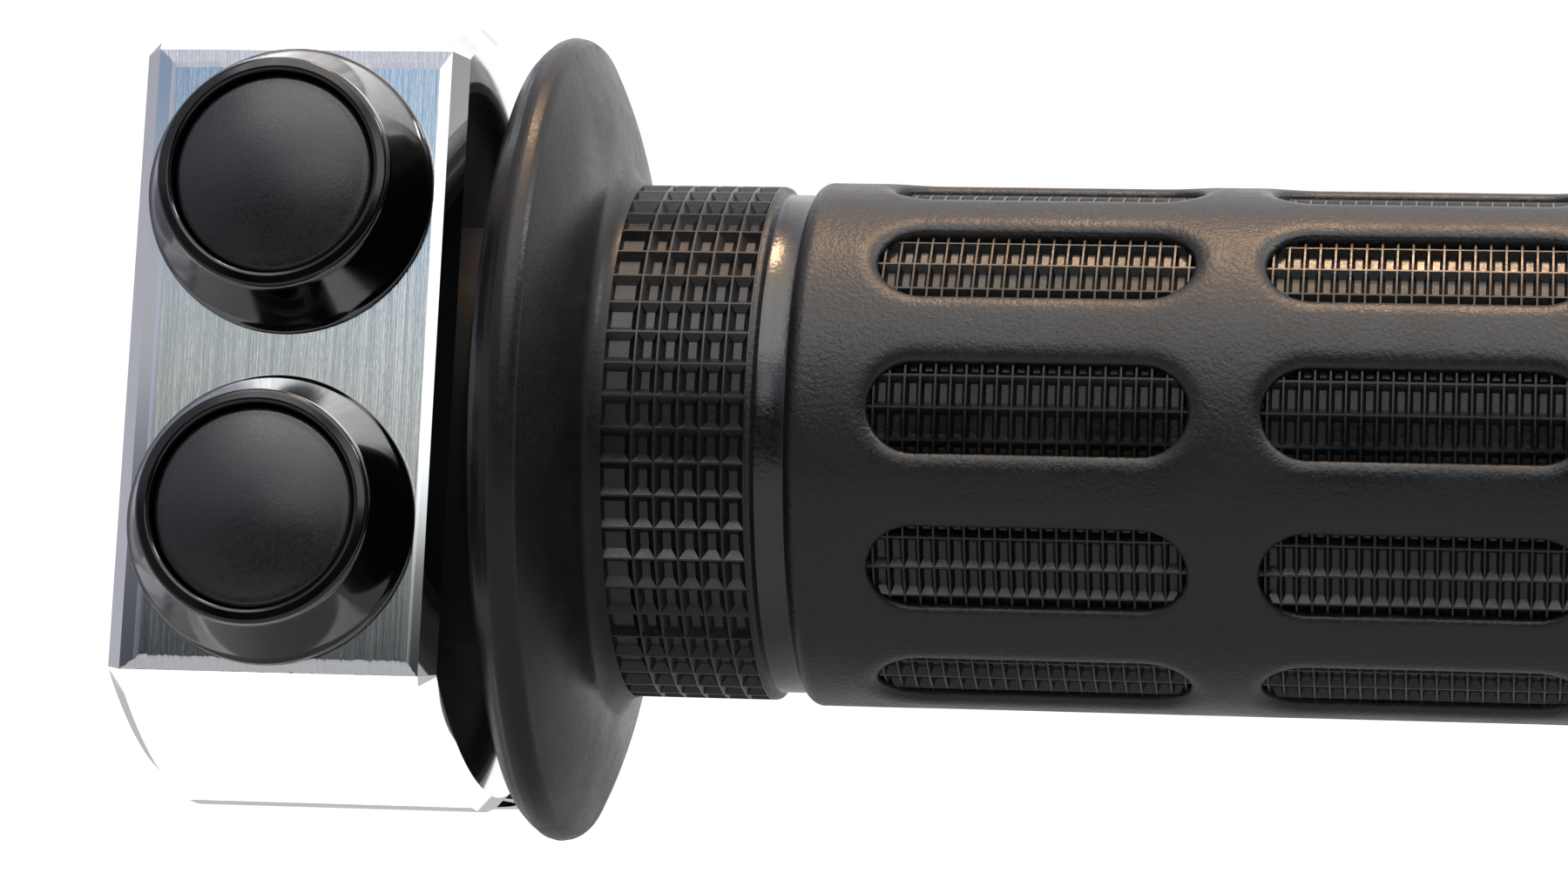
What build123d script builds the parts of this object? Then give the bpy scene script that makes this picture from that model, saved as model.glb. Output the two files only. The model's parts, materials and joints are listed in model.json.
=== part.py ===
from build123d import *
import math
import os

os.makedirs("parts", exist_ok=True)

# A twist throttle grip on a handlebar control housing with two push buttons.
# Frame: +X outboard along the handlebar, +Y forward, away from the rider, +Z up.
# The origin is on the handlebar's axis, in the plane of the rubber flange's widest circle.
# "h" is a height above the switch face; "u" runs up the switch face and "n" out of it.
# Lengths are in millimetres and angles in degrees.

# Handlebar and clearances
bar_r = 11.1               # 22.2 mm (7/8 in) handlebar
bar_clearance = 0.25       # throttle tube over the handlebar
moving_gap = 0.3           # between bodies that move past each other
running_gap = 0.05         # push-button stem in its guide

# Throttle tube and rubber
tube_wall = 1.35
rubber_wall = 2.95         # over the tube, along the hand's part
collar_wall = 2.70
groove_wall = 2.22
flange_height = 11.49      # flange rim over the tube
flange_lip_x = -2.2        # the lip's inboard edge
flange_lip_drop = 2.70     # the lip's edge below the widest circle
flange_lip_round = 0.42    # the lip's curve, along the handlebar
flange_land_half = 0.95    # half the width of the crowned land around the rim
flange_land_drop = 0.41    # the land's edges below the widest circle
flange_cone_x = 2.15       # middle of the outboard cone
flange_cone_drop = 3.29
flange_dish = 1.2          # depth of the hollow in the flange's inboard face
flange_foot_x = 3.1        # where the cone turns into the fillet at the collar
flange_foot_rise = 1.15    # the foot over the collar
flange_fillet = 0.42       # the fillet's middle over the collar
collar_start_x = 4.3
collar_end_x = 13.06
collar_chamfer = 0.34
groove_width = 1.4
shoulder = 0.95            # axial length of the rounded shoulder after the groove
grip_end_x = 109.4
end_wall = 3.0             # rubber beyond the tube's end
end_round = 2.0

# Finger windows, shallow recesses around the rubber
window_rows = 10
window_columns = 4
window_length = 19.25
window_height = 6.5
window_gap = 3.15          # between neighbouring windows along the grip
window_first = 3.35        # from the body's start to the first window
window_depth = 0.7
window_phase = 8.5         # first row's angle above the rider's side

# Control housing
housing_tilt = 10.18       # the switch face looks up by this much
flange_gap = 2.0           # between the housing and the flange's lip
bezel_margin = 0.88        # housing beyond the bezels, on the inboard side
face_margin = 0.555        # above and below the bezels
face_middle = 1.295        # u of the face's middle
face_depth = 6.38          # from the handlebar's surface to the face
back_wall = 5.9            # behind the cable wheel's chamber
back_n = -1.1              # centre of the round back
back_u = 0.6
crown_n = 3.0              # where the flat top starts to curve down to the face
side_chamfer = 0.9
face_chamfer = 0.35
side_wall = 1.2            # outboard wall of the wheel's chamber
washer_thickness = 0.5

# Cable wheel
hub_wall = 0.7             # ring over the tube
sector_height = 4.1        # rim over the tube
sector_rim = 0.6
cable_groove_width = 1.6
cable_groove_depth = 1.6
cable_r = 0.6
nipple_r = 1.6
nipple_sink = 0.5          # nipple's axis below the groove's floor
nipple_angle = 9.0         # back from the sector's leading edge
throttle_turn = 80.0
sector_from = -85.0        # angles from the back of the housing, upward
sector_to = 3.0
stop_gap = 1.5
sector_room_gap = 0.4

# Cable inlet
inlet_r = 2.5              # tap drill of an M6 thread
inlet_wall = 1.3
inlet_mouth_u = -20.5
inlet_depth = 8.5
cable_passage_r = 1.2      # from the threaded hole to the wheel

# Fasteners
screw_r = 2.0              # M4
screw_gap = 0.15
screw_head_r = 3.5
screw_head_height = 4.0
screw_hex = 3.0            # across flats
screw_hex_depth = 2.0
screw_cover = 5.6          # from the handlebar's surface to the screw's axis
screw_inboard = 6.4        # from the housing's inboard side to the screws
screw_seat_n = -8.5
screw_tip_n = 8.0
drill_point = 0.5
grub_tip_gap = 0.1
grub_recess = 1.2
grub_hex = 2.0
dowel_r = 1.0
dowel_half_length = 3.0
dowel_cover = 3.1          # from the chamber's wall to the dowel's axis

# Push buttons
bezel_base_r = 8.39
bezel_top_r = 6.73
bezel_height = 5.13
bezel_foot = 0.5
bezel_gap = 2.52           # between the two bezels
bezel_offset_u = 0.205     # pair of buttons, above the face's middle
bezel_floor = 0.9
neck_r = 5.0
neck_length = 4.0
seal_thickness = 0.4
seal_inner_r = 6.0
seal_outer_r = 7.6
cap_r = 5.65
cap_edge_h = 4.5
cap_dome_h = 5.2
travel = 1.2
stem_r = 1.5
switch_r = 3.6
switch_pocket_gap = 0.1
switch_side_wall = 0.33    # between a switch and the cable wheel's chamber
switch_floor_wall = 0.2    # between the handlebar's bore and the switch pocket's floor
switch_lid = 2.6
switch_wall = 0.9
switch_base = 0.8
bridge_r = 1.9
bridge_thickness = 0.4
terminal_r = 0.45
terminal_offset = 1.5
terminal_tail = 1.4
spring_wire_r = 0.22
spring_mean_r = 2.5
spring_turns = 2.0
wire_channel_half = 1.4
wire_channel_depth = 2.3

# Sizes that follow from the ones above
tube_bore_r = bar_r + bar_clearance
tube_r = tube_bore_r + tube_wall
rubber_r = tube_r + rubber_wall
collar_r = tube_r + collar_wall
groove_r = tube_r + groove_wall
flange_r = tube_r + flange_height
groove_start_x = collar_end_x + collar_chamfer
body_start_x = groove_start_x + groove_width
tube_end_x = grip_end_x - end_wall

housing_right = flange_lip_x - flange_gap
button_pitch = 2 * bezel_base_r + bezel_gap
face_height = button_pitch + 2 * (bezel_base_r + face_margin)
face_n = bar_r + face_depth
face_top = face_middle + face_height / 2
face_bottom = face_middle - face_height / 2
button_u = {
    "top": face_middle + bezel_offset_u + button_pitch / 2,
    "lower": face_middle + bezel_offset_u - button_pitch / 2,
}

hub_r = tube_r + hub_wall
sector_r = tube_r + sector_height
chamber_r = hub_r + moving_gap
sector_room_r = sector_r + sector_room_gap
back_r = sector_room_r + back_wall
chamber_right = housing_right - side_wall
wheel_right = chamber_right - 4 * moving_gap
wheel_width = cable_groove_width + 2 * sector_rim
wheel_left = wheel_right - wheel_width
wheel_x = (wheel_left + wheel_right) / 2
chamber_left = wheel_left - moving_gap - washer_thickness
switch_x = chamber_left - switch_side_wall - switch_r
housing_left = switch_x - bezel_base_r - bezel_margin
housing_width = housing_right - housing_left
cable_line_n = -(sector_r - cable_groove_depth + cable_r)

screw_x = housing_left + screw_inboard
screw_u = bar_r + screw_cover
dowel_u = sector_room_r + dowel_cover

switch_floor_h = -(face_depth - switch_floor_wall)
cap_floor_h = bezel_floor + travel + moving_gap
bridge_top_h = -(switch_lid + moving_gap)
terminal_top_h = bridge_top_h - bridge_thickness - travel - moving_gap

# The housing's own axes: x along the handlebar, y up the switch face, z out of it.
tilt = math.radians(housing_tilt)
housing_plane = Plane(origin=(0, 0, 0), x_dir=(1, 0, 0), z_dir=(0, -math.cos(tilt), math.sin(tilt)))


def in_housing(shape):
    """Turn a shape made in the housing's own axes into the part's frame."""
    return housing_plane.location * shape


def save(node, shape):
    export_step(shape, f"parts/{node}.step")


def rod(radius, x_from, x_to):
    """A cylinder on the handlebar's axis."""
    return Pos(x_from, 0, 0) * extrude(Plane.YZ * Circle(radius), x_to - x_from)


def upright(radius, n_from, n_to, x, u):
    """A cylinder square to the switch face, in the housing's axes."""
    return Pos(x, u, n_from) * extrude(Circle(radius), n_to - n_from)


def along_u(radius, length):
    """A cylinder that runs up the switch face from the origin, in the housing's axes."""
    return extrude(Plane.ZX * Circle(radius), length)


def turned(profile):
    """A closed (radius, height) outline turned about the z axis."""
    return revolve(Plane.XZ * make_face(profile), Axis.Z)


def toward(radius, angle):
    """A (u, n) point at an angle from the housing's back, upward."""
    return radius * math.sin(math.radians(angle)), -radius * math.cos(math.radians(angle))


def wedge(radius, angle_from, angle_to, x_from, x_to):
    """A pie slice about the handlebar's axis, in the housing's axes."""
    start, end = toward(radius, angle_from), toward(radius, angle_to)
    middle = toward(radius, (angle_from + angle_to) / 2)
    outline = Line((0, 0), start) + ThreePointArc(start, middle, end) + Line(end, (0, 0))
    return Pos(x_from, 0, 0) * extrude(Plane.YZ * make_face(outline), x_to - x_from)


def hex_prism(across_flats, depth):
    return extrude(RegularPolygon(across_flats / 2, 6, major_radius=False), depth)


def housing_block():
    """The whole outside shape of the two housing halves, in the housing's axes."""
    top_u, bottom_u = back_u + back_r, back_u - back_r
    face_up, face_down = (face_top, face_n), (face_bottom, face_n)
    outline = (
        Line(face_down, face_up)
        + TangentArc((top_u, crown_n), face_up, tangent=(0, 1))
        + Line((top_u, back_n), (top_u, crown_n))
        + ThreePointArc((top_u, back_n), (back_u, back_n - back_r), (bottom_u, back_n))
        + TangentArc((bottom_u, back_n), face_down, tangent=(0, 1))
    )
    block = Pos(housing_left, 0, 0) * extrude(Plane.YZ * make_face(outline), housing_width)
    face_edges = block.edges().filter_by(Axis.X).group_by(Axis.Z)[-1]
    block = chamfer(face_edges, face_chamfer)
    side_faces = block.faces().filter_by(Axis.X)
    return chamfer(side_faces.edges(), side_chamfer)


def housing_halves():
    """The front half carries the switches and the rear half the cable inlet."""
    block = housing_block()
    reach = 4 * back_r
    rear_box = Pos(housing_left, 0, 0) * Box(reach, reach, reach, align=(Align.CENTER, Align.CENTER, Align.MAX))
    front = block - rear_box
    rear = block & rear_box

    inlet_place = Pos(wheel_x, inlet_mouth_u, cable_line_n)
    rear += inlet_place * along_u(inlet_r + inlet_wall, -inlet_mouth_u - back_r / 2)
    rear -= inlet_place * along_u(inlet_r, inlet_depth)
    rear -= inlet_place * along_u(cable_passage_r, -inlet_mouth_u)

    bar_hole = rod(bar_r, housing_left - 1, chamber_left)
    tube_hole = rod(tube_r + moving_gap, chamber_left, housing_right + 1)
    chamber = rod(chamber_r, chamber_left, chamber_right)
    sector_room = wedge(
        sector_room_r, sector_from - stop_gap, sector_to + throttle_turn + stop_gap, chamber_left, chamber_right
    )
    front -= bar_hole + tube_hole + chamber
    rear -= bar_hole + tube_hole + chamber + sector_room

    for side in (1, -1):
        u = side * screw_u
        front -= upright(screw_r, 0, screw_tip_n + drill_point, screw_x, u)
        rear -= upright(screw_r + screw_gap, screw_seat_n, 0, screw_x, u)
        rear -= upright(screw_head_r + screw_gap, screw_seat_n - back_r, screw_seat_n, screw_x, u)
        dowel_hole = upright(dowel_r, -dowel_half_length, dowel_half_length, wheel_x, side * dowel_u + back_u)
        front -= dowel_hole
        rear -= dowel_hole
    rear -= upright(screw_r, -2 * back_r, 0, screw_x, 0)

    for u in button_u.values():
        pocket_r = switch_r + switch_pocket_gap
        front -= upright(pocket_r, face_n + switch_floor_h, face_n, switch_x, u)
        front -= upright(neck_r, face_n - neck_length, face_n + 1, switch_x, u)
    channel_length = button_pitch + 2 * (terminal_offset + terminal_r)
    channel_middle = (button_u["top"] + button_u["lower"]) / 2
    channel = Box(2 * wire_channel_half, channel_length, wire_channel_depth + wire_channel_half)
    channel_n = face_n + switch_floor_h - (wire_channel_depth - wire_channel_half) / 2
    front -= Pos(switch_x, channel_middle, channel_n) * channel
    return front, rear


def clamp_screw(u):
    """An M4 socket screw from the back, its head sunk in the rear half."""
    head = upright(screw_head_r, screw_seat_n - screw_head_height, screw_seat_n, screw_x, u)
    head = fillet(head.edges().group_by(Axis.Z)[0], 0.3)
    shank = upright(screw_r, screw_seat_n, screw_tip_n, screw_x, u)
    shank = chamfer(shank.edges().group_by(Axis.Z)[-1], 0.4)
    socket = Pos(screw_x, u, screw_seat_n - screw_head_height) * hex_prism(screw_hex, screw_hex_depth)
    return head + shank - socket


def grub_screw():
    """A bar-locking set screw through the back of the housing."""
    outer_n = back_n - back_r + grub_recess
    body = upright(screw_r, outer_n, -(bar_r + grub_tip_gap), screw_x, 0)
    body = chamfer(body.edges().group_by(Axis.Z)[-1], 0.5)
    return body - Pos(screw_x, 0, outer_n) * hex_prism(grub_hex, screw_hex_depth)


def dowel(u):
    pin = upright(dowel_r, -dowel_half_length, dowel_half_length, wheel_x, u)
    return chamfer(pin.edges(), 0.2)


def thrust_washer():
    ring = rod(hub_r, chamber_left, chamber_left + washer_thickness)
    return ring - rod(tube_bore_r + 0.15, chamber_left - 1, wheel_left)


def throttle_tube():
    return rod(tube_r, wheel_left, tube_end_x) - rod(tube_bore_r, wheel_left - 1, tube_end_x + 1)


def cable_wheel():
    """A grooved sector on a ring around the tube, with a seat for the cable's nipple."""
    wheel = rod(hub_r, wheel_left, wheel_right) + wedge(sector_r, sector_from, sector_to, wheel_left, wheel_right)
    wheel -= rod(tube_r, wheel_left - 1, wheel_right + 1)
    groove_floor_r = sector_r - cable_groove_depth
    groove = rod(sector_r + 1, wheel_x - cable_groove_width / 2, wheel_x + cable_groove_width / 2)
    groove -= rod(groove_floor_r, wheel_left, wheel_right)
    wheel -= groove
    seat_u, seat_n = toward(groove_floor_r - nipple_sink, sector_to - nipple_angle)
    wheel -= Pos(0, seat_u, seat_n) * rod(nipple_r, wheel_left - 1, wheel_right + 1)
    return wheel


def grip_profile():
    """Half section of the rubber as (x, r), from the inboard face to the closed end."""
    lip = (flange_lip_x, flange_r - flange_lip_drop)
    lip_middle = (flange_lip_x + flange_lip_round, flange_r - flange_lip_drop / 2)
    land_start = (-flange_land_half, flange_r - flange_land_drop)
    land_end = (flange_land_half, flange_r - flange_land_drop)
    cone_middle = (flange_cone_x, flange_r - flange_cone_drop)
    foot = (flange_foot_x, collar_r + flange_foot_rise)
    fillet_middle = ((flange_foot_x + collar_start_x - flange_fillet) / 2, collar_r + flange_fillet)
    collar_start = (collar_start_x, collar_r)
    body_start = (body_start_x + shoulder, rubber_r)
    dish_x = flange_lip_x + flange_dish
    dish_r = lip[1] - flange_dish
    round_start = (grip_end_x - end_round, rubber_r)
    round_end = (grip_end_x, rubber_r - end_round)
    inset = end_round * (1 - math.sqrt(0.5))
    round_middle = (grip_end_x - inset, rubber_r - inset)
    slant = shoulder * (1 - math.sqrt(0.5))
    shoulder_middle = (body_start_x + slant, rubber_r - slant * (rubber_wall - groove_wall) / shoulder)
    outline = (
        Line((dish_x, tube_r), (dish_x, dish_r))
        + Line((dish_x, dish_r), (flange_lip_x, dish_r + flange_dish / 2))
        + Line((flange_lip_x, dish_r + flange_dish / 2), lip)
        + ThreePointArc(lip, lip_middle, land_start)
        + ThreePointArc(land_start, (0, flange_r), land_end)
        + ThreePointArc(land_end, cone_middle, foot)
        + ThreePointArc(foot, fillet_middle, collar_start)
        + Line(collar_start, (collar_end_x, collar_r))
        + Line((collar_end_x, collar_r), (groove_start_x, groove_r))
        + Line((groove_start_x, groove_r), (body_start_x, groove_r))
        + ThreePointArc((body_start_x, groove_r), shoulder_middle, body_start)
        + Line(body_start, round_start)
        + ThreePointArc(round_start, round_middle, round_end)
        + Line(round_end, (grip_end_x, 0))
        + Line((grip_end_x, 0), (tube_end_x, 0))
        + Line((tube_end_x, 0), (tube_end_x, tube_r))
        + Line((tube_end_x, tube_r), (dish_x, tube_r))
    )
    return make_face(outline)


def grip_pieces():
    """The rubber over the tube, with rows of rounded windows, parted where the flange meets the collar."""
    rubber = revolve(grip_profile(), Axis.X)
    floor_r = rubber_r - window_depth
    slot = extrude(SlotOverall(window_length, window_height), rubber_wall)
    window = Rot(X=90) * (Pos(0, 0, floor_r - window_depth) * slot)
    window -= rod(floor_r, -window_length, window_length)
    first_x = body_start_x + shoulder + window_first + window_length / 2
    windows = []
    for row in range(window_rows):
        angle = window_phase + 360 / window_rows * row
        for column in range(window_columns):
            x = first_x + (window_length + window_gap) * column
            windows.append(Pos(x, 0, 0) * Rot(X=-angle) * window)
    rubber -= windows
    flange_space = rod(2 * flange_r, flange_lip_x - 1, collar_start_x)
    return rubber & flange_space, rubber - flange_space


def bezel():
    """A skirted bezel with a round lip and a neck that screws into the face."""
    lip_r = (bezel_top_r - cap_r - moving_gap) / 2
    lip_middle = bezel_top_r - lip_r
    profile = (
        Line((switch_r, -neck_length), (neck_r, -neck_length))
        + Line((neck_r, -neck_length), (neck_r, 0))
        + Line((neck_r, 0), (seal_inner_r, 0))
        + Line((seal_inner_r, 0), (seal_inner_r, seal_thickness))
        + Line((seal_inner_r, seal_thickness), (seal_outer_r, seal_thickness))
        + Line((seal_outer_r, seal_thickness), (seal_outer_r, 0))
        + Line((seal_outer_r, 0), (bezel_base_r, 0))
        + Line((bezel_base_r, 0), (bezel_base_r, bezel_foot))
        + Line((bezel_base_r, bezel_foot), (bezel_top_r, bezel_height - lip_r))
        + ThreePointArc(
            (bezel_top_r, bezel_height - lip_r),
            (lip_middle, bezel_height),
            (cap_r + moving_gap, bezel_height - lip_r),
        )
        + Line((cap_r + moving_gap, bezel_height - lip_r), (cap_r + moving_gap, bezel_floor))
        + Line((cap_r + moving_gap, bezel_floor), (switch_r, bezel_floor))
        + Line((switch_r, bezel_floor), (switch_r, -neck_length))
    )
    return turned(profile)


def bezel_seal():
    return extrude(Circle(seal_outer_r) - Circle(seal_inner_r), seal_thickness)


def button():
    """A domed cap on a stem that slides in the switch body's lid."""
    edge_round = 0.35
    profile = (
        Line((0, bridge_top_h), (stem_r, bridge_top_h))
        + Line((stem_r, bridge_top_h), (stem_r, cap_floor_h))
        + Line((stem_r, cap_floor_h), (cap_r, cap_floor_h))
        + Line((cap_r, cap_floor_h), (cap_r, cap_edge_h - edge_round))
        + Line((cap_r, cap_edge_h - edge_round), (cap_r - edge_round, cap_edge_h))
        + TangentArc((0, cap_dome_h), (cap_r - edge_round, cap_edge_h), tangent=(1, 0))
        + Line((0, cap_dome_h), (0, bridge_top_h))
    )
    return turned(profile)


def contact_bridge():
    return Pos(0, 0, bridge_top_h - bridge_thickness) * extrude(Circle(bridge_r), bridge_thickness)


def switch_body():
    """A round can: a lid that guides the stem, a hollow and a base that holds the terminals."""
    body = Pos(0, 0, switch_floor_h) * extrude(Circle(switch_r), -switch_floor_h)
    hollow_h = switch_floor_h + switch_base
    body -= Pos(0, 0, hollow_h) * extrude(Circle(switch_r - switch_wall), -switch_lid - hollow_h)
    body -= Pos(0, 0, -2 * switch_lid) * extrude(Circle(stem_r + running_gap), 2 * switch_lid)
    for side in (1, -1):
        body -= terminal(side)
    return body


def terminal(side):
    length = terminal_top_h - switch_floor_h + terminal_tail
    return Pos(0, side * terminal_offset, switch_floor_h - terminal_tail) * extrude(Circle(terminal_r), length)


def return_spring():
    """A short coil between the switch body's lid and the cap."""
    rise = cap_floor_h - 2 * spring_wire_r
    coil = Pos(0, 0, spring_wire_r) * Helix(rise / spring_turns, rise, spring_mean_r)
    section = Plane(origin=coil @ 0, z_dir=coil % 0) * Circle(spring_wire_r)
    return sweep(section, path=coil)


def save_button_set(name, u):
    """Every piece of one push button, stood on the switch face at height u."""
    pieces = {
        "bezel": bezel(),
        "bezel_seal": bezel_seal(),
        "button": button(),
        "contact_bridge": contact_bridge(),
        "return_spring": return_spring(),
        "switch_body": switch_body(),
        "terminal_upper": terminal(1),
        "terminal_lower": terminal(-1),
    }
    for piece, shape in pieces.items():
        save(f"{name}_{piece}", in_housing(Pos(switch_x, u, face_n) * shape))


front_housing, rear_housing = housing_halves()
save("front_housing", in_housing(front_housing))
save("rear_housing", in_housing(rear_housing))
for end, side in (("upper", 1), ("lower", -1)):
    save(f"clamp_screw_{end}", in_housing(clamp_screw(side * screw_u)))
    save(f"dowel_{end}", in_housing(dowel(side * dowel_u + back_u)))
save("grub_screw", in_housing(grub_screw()))
save("thrust_washer", in_housing(thrust_washer()))
for button_name, button_height in button_u.items():
    save_button_set(button_name, button_height)
save("cable_wheel", in_housing(cable_wheel()))
save("throttle_tube", throttle_tube())
grip_flange, grip_rubber = grip_pieces()
save("grip_flange", grip_flange)
save("grip_rubber", grip_rubber)
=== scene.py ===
import json
import math

import bmesh
import bpy
from bpy.props import FloatProperty, FloatVectorProperty, IntProperty, PointerProperty
from mathutils import Matrix, Vector


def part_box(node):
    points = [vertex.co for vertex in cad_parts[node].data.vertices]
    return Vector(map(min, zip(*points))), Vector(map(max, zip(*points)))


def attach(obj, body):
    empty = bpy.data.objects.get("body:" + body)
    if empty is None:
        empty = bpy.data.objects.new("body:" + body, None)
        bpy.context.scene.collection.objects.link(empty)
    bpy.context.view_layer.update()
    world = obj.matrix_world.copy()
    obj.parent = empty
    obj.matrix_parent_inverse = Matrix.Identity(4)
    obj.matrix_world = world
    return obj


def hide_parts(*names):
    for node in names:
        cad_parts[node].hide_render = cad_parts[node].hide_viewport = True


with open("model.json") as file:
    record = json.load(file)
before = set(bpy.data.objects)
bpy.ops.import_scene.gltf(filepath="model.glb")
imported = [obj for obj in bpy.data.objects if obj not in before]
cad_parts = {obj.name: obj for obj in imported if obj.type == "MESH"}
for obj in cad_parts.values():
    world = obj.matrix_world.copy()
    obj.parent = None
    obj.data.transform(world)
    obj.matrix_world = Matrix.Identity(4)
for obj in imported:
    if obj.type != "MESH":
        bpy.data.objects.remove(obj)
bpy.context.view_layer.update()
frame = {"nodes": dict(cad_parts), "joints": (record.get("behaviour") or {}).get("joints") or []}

bl_info = {
    "name": "Throttle Grip Finish",
    "version": (1, 0, 0),
    "blender": (4, 5, 0),
    "location": "View3D > Sidebar > Throttle Grip",
    "description": "Moulded rubber, push buttons and metal finishes for a handlebar throttle grip",
    "category": "Object",
}

MM = 0.001
BUTTONS = ("top", "lower")


# Sizes read from the frame

def joint_named(name):
    for joint in frame["joints"]:
        if joint["name"] == name:
            return joint
    raise ValueError(f"the frame has no joint named {name}")


FACE_NORMAL = -Vector(joint_named("top_button_press")["axis"]).normalized()
FACE_UP = FACE_NORMAL.cross(Vector((1, 0, 0))).normalized()
HOUSING_TILT = math.atan2(FACE_NORMAL.z, -FACE_NORMAL.y)


def face_limits():
    """The lowest and highest point of the switch face, measured up the face."""
    points = [v.co for v in frame["nodes"]["front_housing"].data.vertices]
    outermost = max(p.dot(FACE_NORMAL) for p in points)
    on_face = [p.dot(FACE_UP) for p in points if p.dot(FACE_NORMAL) > outermost - 0.01 * MM]
    return min(on_face), max(on_face)


FACE_BOTTOM, FACE_TOP = face_limits()

flange_low, flange_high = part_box("grip_flange")
rubber_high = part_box("grip_rubber")[1]
tube_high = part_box("throttle_tube")[1]
FLANGE_R = flange_high.z
BODY_R = rubber_high.z
TUBE_R = tube_high.z
LIP_X = flange_low.x
GRIP_END_X = rubber_high.x
TUBE_END_X = tube_high.x


def button_seat(button):
    """The point on the switch face in the middle of a button's bezel."""
    low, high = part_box(f"{button}_bezel_seal")
    across = high.x - low.x
    thickness = (high.y - low.y - across * math.sin(HOUSING_TILT)) / math.cos(HOUSING_TILT)
    return (low + high) / 2 - FACE_NORMAL * thickness / 2


# Settings

class RubberSettings(bpy.types.PropertyGroup):
    """Sizes and colours of the moulded rubber."""

    colour: FloatVectorProperty(
        name="Rubber", description="Colour of the rubber", subtype="COLOR", size=4,
        min=0, max=1, default=(0.0042, 0.0045, 0.0050, 1),
    )
    dust: FloatVectorProperty(
        name="Bloom", description="Colour of the grey-brown bloom on raised rubber", subtype="COLOR", size=4,
        min=0, max=1, default=(0.0118, 0.0108, 0.0101, 1),
    )
    window_length: FloatProperty(
        name="Window length", description="Length of a finger window", unit="LENGTH", default=18.3 * MM,
    )
    window_height: FloatProperty(
        name="Window height", description="Width of a finger window around the grip", unit="LENGTH",
        default=5.45 * MM,
    )
    window_pitch: FloatProperty(
        name="Window pitch", description="From one window to the next along the grip", unit="LENGTH",
        default=22.4 * MM,
    )
    window_start: FloatProperty(
        name="First window", description="Middle of the first window along the handlebar", unit="LENGTH",
        default=28.725 * MM,
    )
    window_phase: FloatProperty(
        name="Window phase", description="First row's angle above the rider's side", subtype="ANGLE",
        default=math.radians(8.5),
    )
    window_rows: IntProperty(name="Window rows", description="Rows of windows around the grip", default=10)
    window_columns: IntProperty(name="Window columns", description="Windows along each row", default=4)
    rim_width: FloatProperty(
        name="Rim width", description="Width of the soft rim around a window",
        unit="LENGTH", default=1.20 * MM,
    )
    rim_drop: FloatProperty(
        name="Rim drop", description="Depth over which the rim rounds off", unit="LENGTH", default=0.52 * MM,
    )
    mat_depth: FloatProperty(
        name="Mat depth", description="Depth of the ribs' tops in a window", unit="LENGTH", default=0.62 * MM,
    )
    rib_pitch: FloatProperty(
        name="Rib pitch", description="Pitch of the fine ribs along a window",
        unit="LENGTH", default=0.88 * MM,
    )
    ribs_around: IntProperty(
        name="Ribs around", description="Lengthwise ribs around the whole grip", default=50,
    )
    rib_width: FloatProperty(
        name="Rib width", description="Width of a rib's top", unit="LENGTH", default=0.11 * MM,
    )
    pocket_depth: FloatProperty(
        name="Pocket depth", description="Depth of the pockets between ribs",
        unit="LENGTH", default=0.46 * MM,
    )


class ButtonSettings(bpy.types.PropertyGroup):
    """Sizes and colours of the push buttons."""

    bezel_colour: FloatVectorProperty(
        name="Bezel", description="Colour of the glossy bezels", subtype="COLOR", size=4,
        min=0, max=1, default=(0.0015, 0.0015, 0.0018, 1),
    )
    cap_colour: FloatVectorProperty(
        name="Cap", description="Colour of the satin caps", subtype="COLOR", size=4,
        min=0, max=1, default=(0.0042, 0.0043, 0.0050, 1),
    )
    lip_height: FloatProperty(
        name="Lip height", description="Top of the bezel above the switch face",
        unit="LENGTH", default=5.13 * MM,
    )
    lip_radius: FloatProperty(
        name="Lip radius", description="Outer radius of the bezel's lip", unit="LENGTH", default=6.73 * MM,
    )
    cap_radius: FloatProperty(
        name="Cap radius", description="Radius of a push-button cap", unit="LENGTH", default=5.78 * MM,
    )
    neck_radius: FloatProperty(
        name="Neck radius", description="Radius of the bezel's screwed neck", unit="LENGTH", default=5.0 * MM,
    )
    neck_length: FloatProperty(
        name="Neck length", description="Length of the bezel's screwed neck", unit="LENGTH", default=4.0 * MM,
    )


class HousingSettings(bpy.types.PropertyGroup):
    """Finish of the metal housing."""

    colour: FloatVectorProperty(
        name="Metal", description="Colour of the polished aluminium", subtype="COLOR", size=4,
        min=0, max=1, default=(0.86, 0.87, 0.88, 1),
    )
    brush_border: FloatProperty(
        name="Brush border", description="Width of the rolled border around the brushed face", unit="LENGTH",
        default=0.85 * MM,
    )
    edge_bevel: FloatProperty(
        name="Edge", description="Width of the worn edge on machined parts", unit="LENGTH", default=0.18 * MM,
    )


class StageSettings(bpy.types.PropertyGroup):
    """Floor, light and camera."""

    floor_drop: FloatProperty(
        name="Floor drop", description="Floor below the handlebar's axis", unit="LENGTH", default=75 * MM,
    )
    camera_place: FloatVectorProperty(
        name="Camera", description="Camera's place", subtype="TRANSLATION", size=3,
        default=(55.911 * MM, -303.880 * MM, 0.004 * MM),
    )
    camera_yaw: FloatProperty(
        name="Yaw", description="Camera's turn to the left", subtype="ANGLE", default=0.1411,
    )
    camera_roll: FloatProperty(
        name="Roll", description="Camera's roll", subtype="ANGLE", default=0.0193,
    )
    lens: FloatProperty(name="Lens", description="Focal length in millimetres", default=117.31)


# Mesh tools

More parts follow.
